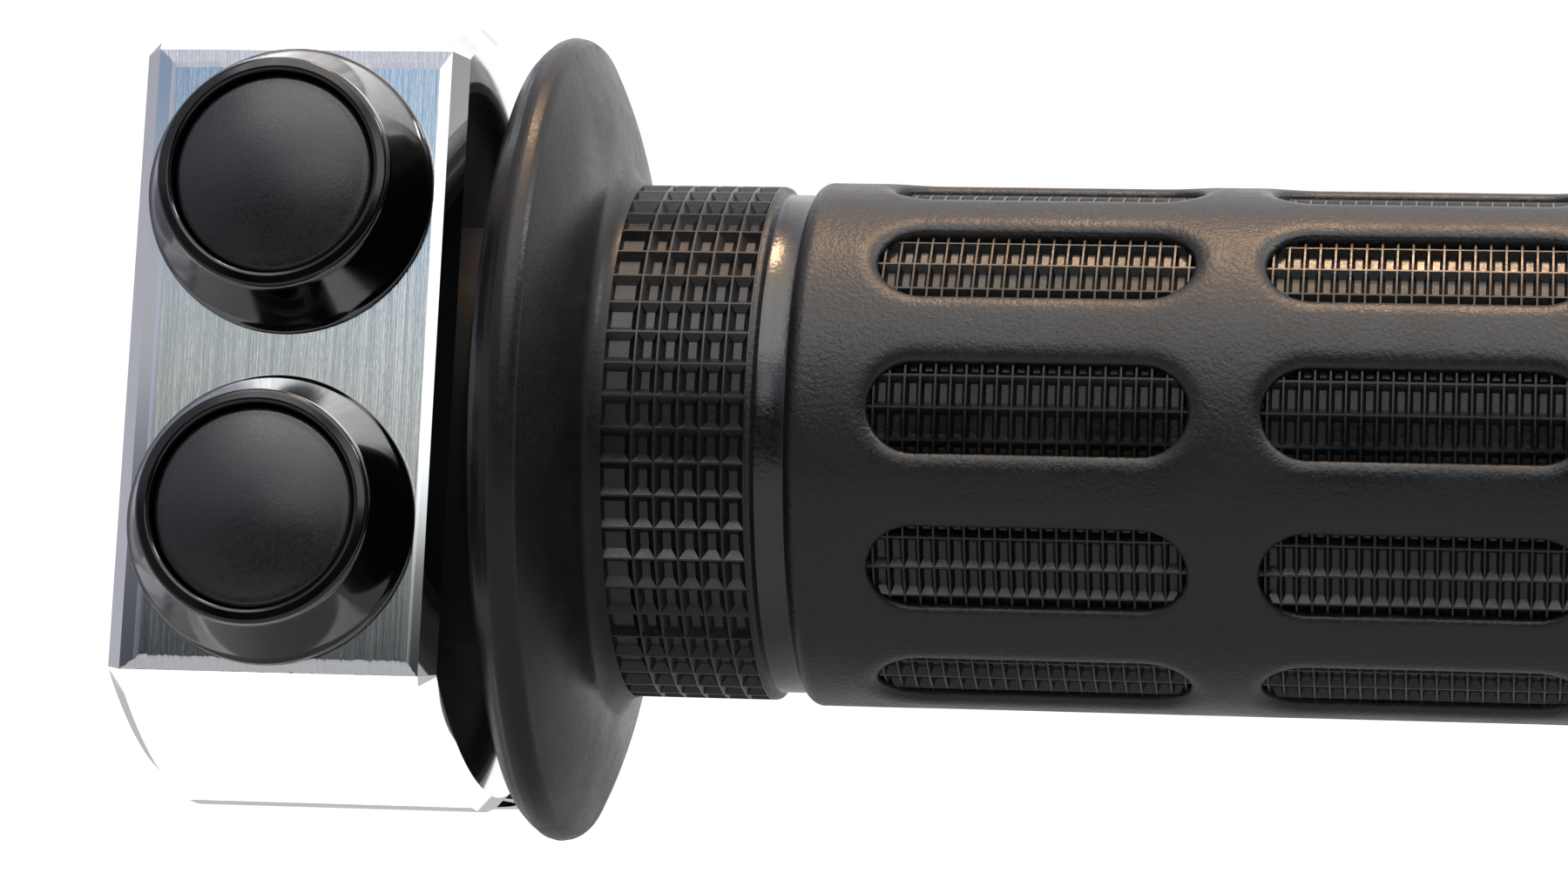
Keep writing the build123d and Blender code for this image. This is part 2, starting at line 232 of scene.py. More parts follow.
class Shell:
    """Rows of points joined by faces, welded into one mesh at the end."""

    def __init__(self):
        self.points = []
        self.faces = []

    def add_row(self, row):
        start = len(self.points)
        self.points.extend(row)
        return range(start, start + len(row))

    def strip(self, first, second, closed=True):
        """Quads between two rows of the same length."""
        a, b = self.add_row(first), self.add_row(second)
        count = len(first)
        for i in range(count if closed else count - 1):
            j = (i + 1) % count
            self.faces.append((a[i], a[j], b[j], b[i]))

    def fan(self, row, tip):
        a = self.add_row(row)
        t = self.add_row([tip])[0]
        for i in range(len(row)):
            self.faces.append((a[i], a[(i + 1) % len(row)], t))

    def face(self, *corners):
        self.faces.append(tuple(self.add_row(corners)))

    def mesh(self, name, weld=0.4e-6):
        mesh = bpy.data.meshes.new(name)
        mesh.from_pydata([tuple(p) for p in self.points], [], self.faces)
        work = bmesh.new()
        work.from_mesh(mesh)
        bmesh.ops.remove_doubles(work, verts=work.verts, dist=weld)
        bmesh.ops.recalc_face_normals(work, faces=work.faces)
        work.to_mesh(mesh)
        work.free()
        return mesh


def arc_through(start, middle, end, steps):
    """Points on the circular arc from start to end by way of middle, in a plane."""
    (ax, ay), (bx, by), (cx, cy) = start, middle, end
    d = 2 * (ax * (by - cy) + bx * (cy - ay) + cx * (ay - by))
    a2, b2, c2 = ax * ax + ay * ay, bx * bx + by * by, cx * cx + cy * cy
    ox = (a2 * (by - cy) + b2 * (cy - ay) + c2 * (ay - by)) / d
    oy = (a2 * (cx - bx) + b2 * (ax - cx) + c2 * (bx - ax)) / d
    radius = math.hypot(ax - ox, ay - oy)
    from_angle = math.atan2(ay - oy, ax - ox)
    via = (math.atan2(by - oy, bx - ox) - from_angle) % (2 * math.pi)
    turn = (math.atan2(cy - oy, cx - ox) - from_angle) % (2 * math.pi)
    if via > turn:
        turn -= 2 * math.pi
    angles = [from_angle + turn * i / steps for i in range(steps + 1)]
    return [(ox + radius * math.cos(a), oy + radius * math.sin(a)) for a in angles]


def place_piece(name, mesh, body, material, replaced=(), sharp=math.radians(35)):
    """Make an object of a mesh that rides on a body and takes a finish."""
    mesh.polygons.foreach_set("use_smooth", [True] * len(mesh.polygons))
    mesh.set_sharp_from_angle(angle=sharp)
    mesh.materials.append(material)
    piece = bpy.data.objects.new(name, mesh)
    bpy.context.scene.collection.objects.link(piece)
    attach(piece, body)
    if replaced:
        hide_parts(*replaced)
    return piece


def dress_node(node, material, sharp=math.radians(25), bevel=0.0):
    """Give a part of the frame its finish, with smooth round faces and softened edges."""
    piece = frame["nodes"][node]
    piece.data.materials.clear()
    piece.data.materials.append(material)
    piece.data.polygons.foreach_set("use_smooth", [True] * len(piece.data.polygons))
    piece.data.set_sharp_from_angle(angle=sharp)
    if bevel:
        edge = piece.modifiers.new("Soft edge", "BEVEL")
        edge.width = bevel
        edge.segments = 2
        edge.limit_method = "ANGLE"
        edge.angle_limit = math.radians(30)
        edge.harden_normals = True


# Round shapes about the handlebar

def around_bar(x, r, angle):
    """A point at a radius and an angle above the rider's side."""
    return Vector((x, -r * math.cos(angle), r * math.sin(angle)))


def bar_ring(x, r, angles):
    return [around_bar(x, r, a) for a in angles]


def lathe_on_bar(shell, profile, angles):
    """Turn (x, r) points about the handlebar's axis."""
    rings = [bar_ring(x, r, angles) for x, r in profile]
    for first, second in zip(rings, rings[1:]):
        shell.strip(first, second)


def lathe_on_face(profile, seat):
    """Turn (r, h) points about a line that stands on the switch face at seat."""
    shell, turns = Shell(), 128
    side = Vector((1, 0, 0))

    def ring(r, h):
        steps = [2 * math.pi * i / turns for i in range(turns)]
        return [seat + FACE_NORMAL * h + (side * math.cos(a) + FACE_UP * math.sin(a)) * r for a in steps]

    rows = [ring(r, h) for r, h in profile if r > 0]
    for first, second in zip(rows, rows[1:]):
        shell.strip(first, second)
    for (r, h), row in ((profile[0], rows[0]), (profile[-1], rows[-1])):
        if r == 0:
            shell.fan(row, seat + FACE_NORMAL * h)
    if profile[0][0] > 0:
        shell.strip(rows[-1], rows[0])
    return shell


# Node materials

class NodeKit:
    """Short ways to add and join nodes in one tree."""

    def __init__(self, tree):
        self.tree = tree
        self.coords = tree.nodes.new("ShaderNodeTexCoord")

    def node(self, kind, **settings):
        made = self.tree.nodes.new(kind)
        for key, value in settings.items():
            setattr(made, key, value)
        return made

    def link(self, source, target):
        self.tree.links.new(source, target)

    def split(self, vector):
        made = self.node("ShaderNodeSeparateXYZ")
        self.link(vector, made.inputs["Vector"])
        return made.outputs

    def placed(self, scale=(1, 1, 1), turn=(0, 0, 0)):
        """Object coordinates, turned and then scaled."""
        turned = self.node("ShaderNodeMapping", vector_type="POINT")
        turned.inputs["Rotation"].default_value = turn
        self.link(self.coords.outputs["Object"], turned.inputs["Vector"])
        scaled = self.node("ShaderNodeMapping", vector_type="POINT")
        scaled.inputs["Scale"].default_value = scale
        self.link(turned.outputs["Vector"], scaled.inputs["Vector"])
        return scaled.outputs["Vector"]

    def noise(self, vector, scale, detail=4.0, roughness=0.55, distortion=0.0):
        made = self.node("ShaderNodeTexNoise")
        made.inputs["Scale"].default_value = scale
        made.inputs["Detail"].default_value = detail
        made.inputs["Roughness"].default_value = roughness
        made.inputs["Distortion"].default_value = distortion
        self.link(vector, made.inputs["Vector"])
        return made.outputs["Fac"]

    def ramp(self, value, low, high, from_low=0.3, from_high=0.7):
        """Map a value between two limits to a range."""
        made = self.node("ShaderNodeMapRange", clamp=True)
        made.inputs["From Min"].default_value = from_low
        made.inputs["From Max"].default_value = from_high
        made.inputs["To Min"].default_value = low
        made.inputs["To Max"].default_value = high
        self.link(value, made.inputs["Value"])
        return made.outputs["Result"]

    def math(self, operation, first, second):
        made = self.node("ShaderNodeMath", operation=operation)
        for socket, value in zip(made.inputs, (first, second)):
            if isinstance(value, (int, float)):
                socket.default_value = value
            else:
                self.link(value, socket)
        return made.outputs["Value"]

    def blend(self, factor, first, second):
        """A colour between two, by a factor. Each may be a colour or a socket."""
        made = self.node("ShaderNodeMix", data_type="RGBA")
        ends = [socket for socket in made.inputs if socket.type == "RGBA"]
        for socket, value in zip(ends, (first, second)):
            if isinstance(value, bpy.types.NodeSocket):
                self.link(value, socket)
            else:
                socket.default_value = tuple(value)
        self.link(factor, made.inputs["Factor"])
        return next(output for output in made.outputs if output.type == "RGBA")


class Finish(NodeKit):
    """A node material built around one shader."""

    def __init__(self, name):
        self.material = bpy.data.materials.new(name)
        self.material.use_nodes = True
        super().__init__(self.material.node_tree)
        self.shader = self.tree.nodes["Principled BSDF"]

    def set(self, **values):
        for key, value in values.items():
            self.shader.inputs[key.replace("_", " ")].default_value = value

    def colour(self, socket):
        self.link(socket, self.shader.inputs["Base Color"])

    def roughness(self, socket):
        self.link(socket, self.shader.inputs["Roughness"])

    def bump(self, height, distance):
        made = self.node("ShaderNodeBump")
        made.inputs["Distance"].default_value = distance
        self.link(height, made.inputs["Height"])
        if self.shader.inputs["Normal"].is_linked:
            before = self.shader.inputs["Normal"].links[0].from_socket
            self.link(before, made.inputs["Normal"])
        self.link(made.outputs["Normal"], self.shader.inputs["Normal"])


def moulded_rubber(name, settings, grain_depth=0.055 * MM, shine=0.34, turned=False, gloss=0.55):
    """Satin rubber with a fine mottle and a thin bloom, and turning marks where it was trimmed."""
    finish = Finish(name)
    finish.set(Specular_IOR_Level=gloss)
    spot = finish.placed()
    cloud = finish.noise(spot, 180, detail=5)
    grain = finish.noise(spot, 3600, detail=3, roughness=0.65)
    bloom = finish.math("MULTIPLY", finish.ramp(cloud, 0.1, 0.9), finish.ramp(grain, 0.2, 1.0))
    finish.colour(finish.blend(bloom, settings.colour, settings.dust))
    patchy = finish.ramp(cloud, shine - 0.08, shine + 0.08)
    finish.roughness(finish.math("ADD", patchy, finish.ramp(grain, -0.05, 0.07)))
    finish.bump(grain, grain_depth)
    if turned:
        marks = finish.node("ShaderNodeTexNoise", noise_dimensions="1D")
        marks.inputs["Scale"].default_value = 2600
        marks.inputs["Detail"].default_value = 2
        finish.link(finish.split(finish.coords.outputs["Object"])["X"], marks.inputs["W"])
        finish.bump(marks.outputs["Fac"], 0.035 * MM)
    return finish.material


def glossy_black(name, colour):
    """High gloss moulded plastic with the faintest orange peel."""
    finish = Finish(name)
    finish.set(Base_Color=tuple(colour), Specular_IOR_Level=0.5, Coat_Weight=0.3, Coat_Roughness=0.05)
    spot = finish.placed()
    finish.roughness(finish.ramp(finish.noise(spot, 300), 0.09, 0.16))
    finish.bump(finish.noise(spot, 420, detail=2), 0.004 * MM)
    return finish.material


def satin_black(name, colour):
    """Fine spark-eroded grain on a satin moulding."""
    finish = Finish(name)
    finish.set(Specular_IOR_Level=0.95)
    spot = finish.placed()
    grain = finish.noise(spot, 5200, detail=3, roughness=0.75)
    cloud = finish.noise(spot, 220, detail=4)
    lighter = tuple(min(1, c * 2.2) for c in colour[:3]) + (1,)
    finish.colour(finish.blend(finish.ramp(grain, 0, 0.8), colour, lighter))
    finish.roughness(finish.math("ADD", finish.ramp(cloud, 0.24, 0.33), finish.ramp(grain, -0.04, 0.06)))
    finish.bump(grain, 0.010 * MM)
    return finish.material


def polished_aluminium(name, settings):
    """Mirror-polished metal, with upright brush marks inside the switch face's rolled border."""
    finish = Finish(name)
    finish.set(Metallic=1.0)
    along = finish.placed(turn=(HOUSING_TILT, 0, 0), scale=(1, 1, 0.02))
    normal = finish.split(finish.coords.outputs["Normal"])
    toward = finish.math("MULTIPLY", normal["Y"], FACE_NORMAL.y)
    upward = finish.math("MULTIPLY", normal["Z"], FACE_NORMAL.z)
    facing = finish.ramp(finish.math("ADD", toward, upward), 0, 1, 0.97, 0.995)
    streaks = finish.noise(along, 4200, detail=5, roughness=0.75)
    broad = finish.noise(along, 900, detail=2)

    place = finish.split(finish.placed(turn=(HOUSING_TILT, 0, 0)))
    low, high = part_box("front_housing")
    border = settings.brush_border
    chamfer = 0.9 * MM
    ragged = finish.math("MULTIPLY", finish.math("SUBTRACT", streaks, 0.5), 0.5 * MM)
    up = finish.math("ADD", place["Z"], ragged)
    sides = (
        finish.ramp(place["X"], 0, 1, low.x + chamfer, low.x + chamfer + 1.3 * border),
        finish.ramp(place["X"], 1, 0, high.x - chamfer - 0.8 * border, high.x - chamfer),
        finish.ramp(up, 0, 1, FACE_BOTTOM, FACE_BOTTOM + border),
        finish.ramp(up, 1, 0, FACE_TOP - 1.25 * border, FACE_TOP),
    )
    inside = sides[0]
    for side in sides[1:]:
        inside = finish.math("MINIMUM", inside, side)
    brushed = finish.math("MULTIPLY", facing, finish.ramp(inside, 0, 1, 0.7, 0.95))

    darker = tuple(c * 0.80 for c in settings.colour[:3]) + (1,)
    marks = finish.math("MULTIPLY", brushed, finish.ramp(streaks, 0, 0.8, 0.35, 0.7))
    finish.colour(finish.blend(marks, settings.colour, darker))
    smear = finish.noise(finish.placed(), 90, detail=3)
    rough = finish.math("MULTIPLY", brushed, finish.ramp(streaks, 0.06, 0.13))
    polish = finish.math("MULTIPLY", finish.ramp(smear, 0.03, 0.07), finish.math("SUBTRACT", 1.0, brushed))
    finish.roughness(finish.math("ADD", rough, polish))
    finish.bump(finish.math("MULTIPLY", finish.math("ADD", streaks, broad), brushed), 0.008 * MM)
    finish.bump(finish.math("MULTIPLY", finish.ramp(inside, 0, 1, 0, 1), facing), 0.060 * MM)
    return finish.material


def turned_metal(name, colour, roughness=0.3):
    """Machined or plated metal with light handling marks."""
    finish = Finish(name)
    finish.set(Metallic=1.0)
    spot = finish.placed()
    cloud = finish.noise(spot, 400, detail=4)
    darker = tuple(c * 0.72 for c in colour[:3]) + (1,)
    finish.colour(finish.blend(finish.ramp(cloud, 0, 1), darker, colour))
    finish.roughness(finish.ramp(finish.noise(spot, 1500), roughness - 0.08, roughness + 0.1))
    finish.bump(finish.noise(spot, 3000, detail=2), 0.006 * MM)
    return finish.material


def moulded_plastic(name, colour, roughness=0.45, gloss=0.5):
    """Plain engineering plastic with a faint flow pattern."""
    finish = Finish(name)
    finish.set(Specular_IOR_Level=gloss)
    spot = finish.placed()
    cloud = finish.noise(spot, 260, detail=4, distortion=0.6)
    lighter = tuple(min(1, c * 1.5) for c in colour[:3]) + (1,)
    finish.colour(finish.blend(finish.ramp(cloud, 0, 0.7), colour, lighter))
    finish.roughness(finish.ramp(cloud, roughness - 0.06, roughness + 0.08))
    finish.bump(finish.noise(spot, 2400), 0.010 * MM)
    return finish.material


# Rubber pieces

def skin_angles(rubber):
    """Stations around the grip that land on the corners of every window's cell."""
    per_cell = 16
    cell = 2 * math.pi / rubber.window_rows
    count = rubber.window_rows * per_cell
    return [rubber.window_phase - cell / 2 + cell * i / per_cell for i in range(count)]


def window_loops(rubber):
    """Loops of (x, s, depth) for one window's cell, from its floor out to the cell's edge.

    x runs along the grip from the window's middle and s around it, both on the unrolled surface.
    """
    side_steps, end_steps, spread_steps, rim_steps = 8, 16, 3, 9
    half = rubber.window_height / 2
    straight = rubber.window_length / 2 - half
    edge_x = rubber.window_pitch / 2
    edge_s = math.pi * BODY_R / rubber.window_rows
    arc_steps = 2 * side_steps + end_steps

    def stadium(offset, depth):
        right = []
        for i in range(arc_steps + 1):
            turn = -math.pi / 2 + math.pi * i / arc_steps
            reach = half + offset
            right.append((straight + reach * math.cos(turn), reach * math.sin(turn), depth))
        left = [(-x, -s, d) for x, s, d in right]
        return right + left

    def cell_edge():
        right = []
        for i in range(arc_steps + 1):
            if i <= side_steps:
                point = (straight + (edge_x - straight) * i / side_steps, -edge_s)
            elif i < side_steps + end_steps:
                point = (edge_x, -edge_s + 2 * edge_s * (i - side_steps) / end_steps)
            else:
                point = (edge_x - (edge_x - straight) * (i - side_steps - end_steps) / side_steps, edge_s)
            right.append((*point, 0.0))
        return right + [(-x, -s, d) for x, s, d in right]

    loops = [stadium(0, rubber.mat_depth + 2 * rubber.pocket_depth), stadium(0, rubber.rim_drop)]
    for i in range(1, rim_steps + 1):
        turn = math.pi / 2 * i / rim_steps
        loops.append(
            stadium(rubber.rim_width * (1 - math.cos(turn)), rubber.rim_drop * (1 - math.sin(turn)))
        )
    rim, edge = loops[-1], cell_edge()
    for i in range(1, spread_steps + 1):
        t = i / spread_steps
        loops.append([tuple(a + (b - a) * t for a, b in zip(p, q)) for p, q in zip(rim, edge)])
    return loops


def rippled(points, depths):
    """Push points of a profile in by depths that run from its first point to its last."""
    moved = []
    for i, (x, r) in enumerate(points):
        before, after = points[max(i - 1, 0)], points[min(i + 1, len(points) - 1)]
        along = Vector((after[0] - before[0], after[1] - before[1])).normalized()
        place = i / (len(points) - 1) * (len(depths) - 1)
        step = min(int(place), len(depths) - 2)
        depth = depths[step] + (depths[step + 1] - depths[step]) * (place - step)
        moved.append((x + along.y * depth, r - along.x * depth))
    return moved


def flange_profile():
    """(x, r) points of the flange's hollow side, beaded lip, ridged rim, crease, cone and foot."""
    lip = (LIP_X, FLANGE_R - 2.70 * MM)
    hollow_x = LIP_X + 1.2 * MM
    hollow_r = lip[1] - 1.2 * MM
    land_r = FLANGE_R - 0.41 * MM
    land_end = (0.95 * MM, land_r)
    crease = (1.00 * MM, land_r - 0.12 * MM)
    collar_r = TUBE_R + 2.7 * MM
    foot = (3.1 * MM, collar_r + 1.15 * MM)
    points = [(hollow_x, TUBE_R), (hollow_x, hollow_r - 0.3 * MM)]
    hollow_bend = (hollow_x - 0.30 * MM, hollow_r + 0.35 * MM)
    points += arc_through(points[-1], hollow_bend, (LIP_X, hollow_r + 0.6 * MM), 5)[1:]
    rim = arc_through(lip, (LIP_X + 0.42 * MM, FLANGE_R - 1.35 * MM), (-land_end[0], land_r), 20)
    rim += arc_through((-land_end[0], land_r), (0, FLANGE_R), land_end, 20)[1:]
    ridges = (0, 0, 0.07, 0.06, 0.02, 0, 0.02, 0, 0.03, 0, 0.02, 0, 0.03, 0.01, 0, 0)
    points += rippled(rim, [depth * MM for depth in ridges])
    points.append(crease)
    points += arc_through(crease, (2.15 * MM, FLANGE_R - 3.29 * MM), foot, 24)[1:]
    points += arc_through(foot, (3.49 * MM, collar_r + 0.42 * MM), (4.30 * MM, collar_r + 0.02 * MM), 8)[1:]
    return points


def collar_to_body_profile(rubber):
    """(x, r) points from under the collar's ribs to the windowed body."""
    seat_r = TUBE_R + 2.0 * MM
    collar_r = TUBE_R + 2.66 * MM
    groove_r = TUBE_R + 2.22 * MM
    points = [(4.34 * MM, seat_r), (12.62 * MM, seat_r), (12.66 * MM, collar_r)]
    points += [(12.78 * MM, collar_r), (12.92 * MM, collar_r - 0.06 * MM), (13.12 * MM, groove_r + 0.05 * MM)]
    points += [(13.24 * MM, groove_r), (14.70 * MM, groove_r), (14.80 * MM, groove_r + 0.03 * MM)]
    shoulder_foot, shoulder_bend = (14.82 * MM, groove_r + 0.08 * MM), (15.08 * MM, BODY_R - 0.24 * MM)
    points += arc_through(shoulder_foot, shoulder_bend, (15.85 * MM, BODY_R), 8)
    points.append((rubber.window_start - rubber.window_pitch / 2, BODY_R))
    return points


def end_profile(rubber):
    """(x, r) points from the last window's cell round the closed end and back down the bore."""
    start_x = rubber.window_start + rubber.window_pitch * (rubber.window_columns - 0.5)
    rounding = 2.0 * MM
    inset = rounding * (1 - math.sqrt(0.5))
    points = [(start_x, BODY_R)]
    points += arc_through(
        (GRIP_END_X - rounding, BODY_R),
        (GRIP_END_X - inset, BODY_R - inset),
        (GRIP_END_X, BODY_R - rounding),
        10,
    )
    points += [(GRIP_END_X, 11.4 * MM), (GRIP_END_X - 0.12 * MM, 11.2 * MM)]
    points += [(GRIP_END_X - 0.5 * MM, 11.0 * MM)]
    points += [(GRIP_END_X - 0.6 * MM, 10.7 * MM), (GRIP_END_X - 0.6 * MM, 1.0 * MM)]
    return points


def build_grip_skin(rubber):
    """The rubber's outer skin: flange, collar seat, groove, windowed body and closed end."""
    shell = Shell()
    angles = skin_angles(rubber)
    inner = [(TUBE_END_X, 1.0 * MM), (TUBE_END_X, TUBE_R)]
    front = flange_profile() + collar_to_body_profile(rubber)
    lathe_on_bar(shell, inner + front, angles)
    end = end_profile(rubber)
    lathe_on_bar(shell, end, angles)
    shell.fan(bar_ring(*end[-1], angles), Vector((end[-1][0], 0, 0)))
    shell.fan(bar_ring(*inner[0], angles), Vector((TUBE_END_X, 0, 0)))

    loops = window_loops(rubber)
    for row in range(rubber.window_rows):
        middle_angle = rubber.window_phase + 2 * math.pi * row / rubber.window_rows
        for column in range(rubber.window_columns):
            middle_x = rubber.window_start + rubber.window_pitch * column
            rows = [
                [around_bar(middle_x + x, BODY_R - depth, middle_angle + s / BODY_R) for x, s, depth in loop]
                for loop in loops
            ]
            for first, second in zip(rows, rows[1:]):
                shell.strip(first, second)
            shell.face(*rows[0])
    return shell


def pocket_mat(shell, x_lines, angles, top_r, base_r, settings, draft_x, draft_s, ring):
    """A slab of thin ribs with tapered pockets between them, wrapped around the grip.

    x_lines and angles are the ribs' middles. A ring closes on itself, and other mats get side walls.
    """
    half = settings.rib_width / 2
    turn = half / top_r
    floor_r = top_r - settings.pocket_depth
    last = len(angles) if ring else len(angles) - 1

    def corner(x, angle, r):
        return around_bar(x, r, angle)

    for i in range(last):
        low = angles[i] + turn
        high = angles[(i + 1) % len(angles)] - turn
        if ring and i == last - 1:
            high += 2 * math.pi
        floor_low, floor_high = low + draft_s / top_r, high - draft_s / top_r
        for left, right in zip(x_lines, x_lines[1:]):
            x0, x1 = left + half, right - half
            top = [
                corner(x0, low, top_r), corner(x1, low, top_r),
                corner(x1, high, top_r), corner(x0, high, top_r),
            ]
            f0, f1 = x0 + draft_x, x1 - draft_x
            floor = [
                corner(f0, floor_low, floor_r), corner(f1, floor_low, floor_r),
                corner(f1, floor_high, floor_r), corner(f0, floor_high, floor_r),
            ]
            shell.strip(top, floor)
            shell.face(*floor)
    marks = [edge for x in x_lines for edge in (x - half, x + half)]
    for angle in angles:
        low, high = angle - turn, angle + turn
        for a, b in zip(marks, marks[1:]):
            shell.face(
                corner(a, low, top_r), corner(b, low, top_r), corner(b, high, top_r), corner(a, high, top_r)
            )
    for i in range(last):
        low = angles[i] + turn
        high = angles[(i + 1) % len(angles)] - turn
        if ring and i == last - 1:
            high += 2 * math.pi
        for x in x_lines:
            a, b = x - half, x + half
            shell.face(
                corner(a, low, top_r), corner(b, low, top_r), corner(b, high, top_r), corner(a, high, top_r)
            )

    # Ends, sides and base
    around = []
    for angle in angles:
        around += [angle - turn, angle + turn]
    start_x, end_x = x_lines[0] - half, x_lines[-1] + half
    for x in (start_x, end_x):
        shell.strip(bar_ring(x, top_r, around), bar_ring(x, base_r, around), closed=ring)
    if ring:
        shell.strip(bar_ring(start_x, base_r, around), bar_ring(end_x, base_r, around))
        return
    inner = around[1:-1]
    shell.strip(bar_ring(start_x, base_r, inner), bar_ring(end_x, base_r, inner), closed=False)
    for outer, next_in in ((around[0], around[1]), (around[-1], around[-2])):
        foot = [corner(x, outer, base_r) for x in marks]
        shell.strip([corner(x, outer, top_r) for x in marks], foot, closed=False)
        shell.face(*foot, corner(end_x, next_in, base_r), corner(start_x, next_in, base_r))


def build_window_mats(rubber):
    """The fine ribbed mats on the windows' floors."""
    shell = Shell()
    top_r = BODY_R - rubber.mat_depth
    base_r = top_r - 1.4 * rubber.pocket_depth
    step = 2 * math.pi / rubber.ribs_around
    reach = int(rubber.window_length / 2 / rubber.rib_pitch) + 1
    for row in range(rubber.window_rows):
        middle = rubber.window_phase + 2 * math.pi * row / rubber.window_rows
        angles = [middle + step * k for k in range(-2, 3)]
        for column in range(rubber.window_columns):
            middle_x = rubber.window_start + rubber.window_pitch * column
            lines = [middle_x + rubber.rib_pitch * k for k in range(-reach, reach + 1)]
            pocket_mat(shell, lines, angles, top_r, base_r, rubber, 0.19 * MM, 0.33 * MM, ring=False)
    return shell


def build_collar(rubber):
    """The ring of tapered pockets behind the flange."""
    shell = Shell()
    step = 2 * math.pi / rubber.ribs_around
    angles = [math.radians(2.6) + step * k for k in range(rubber.ribs_around)]
    first_line, second_line, last_line, cells = 4.02 * MM, 6.05 * MM, 12.60 * MM, 5
    pitch = (last_line - second_line) / cells
    lines = [first_line] + [second_line + pitch * k for k in range(cells + 1)]
    pocket_mat(
        shell, lines, angles, TUBE_R + 2.70 * MM, TUBE_R + 1.9 * MM, rubber, 0.36 * MM, 0.40 * MM, ring=True
    )
    return shell


# Push-button pieces

def bezel_profile(sizes, base_r):
    """(r, h) points of a bezel: skirt, round lip, bore and neck."""
    bore_r = sizes.cap_radius + 0.11 * MM
    lip_r = (sizes.lip_radius - bore_r) / 2
    lip_low = sizes.lip_height - lip_r
    points = [(3.6 * MM, -sizes.neck_length), (sizes.neck_radius, -sizes.neck_length), (sizes.neck_radius, 0)]
    points += [(base_r - 0.1 * MM, 0), (base_r, 0.1 * MM)]
    points += [(base_r, 0.42 * MM), (base_r - 0.1 * MM, 0.56 * MM)]
    skirt = arc_through(
        (base_r - 0.2 * MM, 0.66 * MM),
        (sizes.lip_radius + 0.42 * (base_r - sizes.lip_radius), 0.5 * sizes.lip_height),
        (sizes.lip_radius, lip_low - 0.3 * MM),
        14,
    )
    points += skirt
    shoulder, slope = 0.26 * MM, 0.06 * MM
    corner = shoulder * (1 - math.sqrt(0.5))
    top = sizes.lip_height
    points += arc_through(
        (sizes.lip_radius, top - shoulder - slope),
        (sizes.lip_radius - corner, top - corner - slope),
        (sizes.lip_radius - shoulder, top - slope),
        8,
    )
    points += arc_through(
        (bore_r + 0.30 * MM, top), (bore_r + 0.09 * MM, top - 0.05 * MM), (bore_r, top - 0.22 * MM), 8
    )
    points += [(bore_r, 1.0 * MM), (bore_r - 0.1 * MM, 0.9 * MM), (3.6 * MM, 0.9 * MM)]
    return points


def cap_profile(sizes):
    """(r, h) points of a cap and its stem, from the dome's middle down."""
    r = sizes.cap_radius
    edge_h, dome_h, floor_h, stem_end_h, stem_r = 4.60 * MM, 5.3 * MM, 2.4 * MM, -2.9 * MM, 1.5 * MM
    dome = arc_through((-(r - 0.4 * MM), edge_h), (0, dome_h), (r - 0.4 * MM, edge_h), 36)
    points = [(0, dome_h)] + [p for p in dome if p[0] > 0.01 * MM]
    edge_bend, edge_foot = (r - 0.1 * MM, edge_h - 0.12 * MM), (r, edge_h - 0.42 * MM)
    points += arc_through((r - 0.4 * MM, edge_h), edge_bend, edge_foot, 6)[1:]
    points += [(r, floor_h + 0.1 * MM), (r - 0.1 * MM, floor_h)]
    points += [(stem_r, floor_h), (stem_r, stem_end_h), (0, stem_end_h)]
    return points


# Operators

class THROTTLE_OT_grip_skin(bpy.types.Operator):
    """Mould the rubber's skin with its flange, groove, windows and closed end"""

    bl_idname = "throttle.grip_skin"
    bl_label = "Rubber Skin"

    def execute(self, context):
        rubber = context.scene.throttle_rubber
        mesh = build_grip_skin(rubber).mesh("grip_skin")
        body = moulded_rubber("grip_rubber_satin", rubber)
        place_piece("grip_skin", mesh, "grip", body, ("grip_rubber", "grip_flange"))
        mesh.materials.append(moulded_rubber("flange_rubber_smooth", rubber, 0.016 * MM, 0.36, gloss=0.32))
        rim = moulded_rubber("flange_rim_trimmed", rubber, 0.016 * MM, 0.34, turned=True, gloss=0.40)
        mesh.materials.append(rim)
        mesh.materials.append(moulded_rubber("groove_rubber_smooth", rubber, 0.018 * MM, 0.17, gloss=0.85))
        mesh.materials.append(moulded_plastic("flange_hollow_matt", rubber.colour, 0.85, 0.2))
        smooth_slot, rim_slot, groove_slot, hollow_slot = 1, 2, 3, 4
        hollow_r, rim_end, cone_end = FLANGE_R - 2.75 * MM, 0.97 * MM, 4.3 * MM
        groove_start, groove_end = 13.1 * MM, 14.8 * MM
        for face in mesh.polygons:
            if face.center.x < 0 and face.center.yz.length < hollow_r:
                face.material_index = hollow_slot
            elif face.center.x < rim_end:
                face.material_index = rim_slot
            elif face.center.x < cone_end:
                face.material_index = smooth_slot
            elif groove_start < face.center.x < groove_end:
                face.material_index = groove_slot
        return {"FINISHED"}


class THROTTLE_OT_window_mats(bpy.types.Operator):
    """Mould the fine ribs on the windows' floors"""

    bl_idname = "throttle.window_mats"
    bl_label = "Window Ribs"

    def execute(self, context):
        rubber = context.scene.throttle_rubber
        material = moulded_rubber("window_rib_rubber", rubber, 0.010 * MM, 0.28)
        mesh = build_window_mats(rubber).mesh("window_mats")
        place_piece("window_mats", mesh, "grip", material, sharp=math.radians(20))
        return {"FINISHED"}


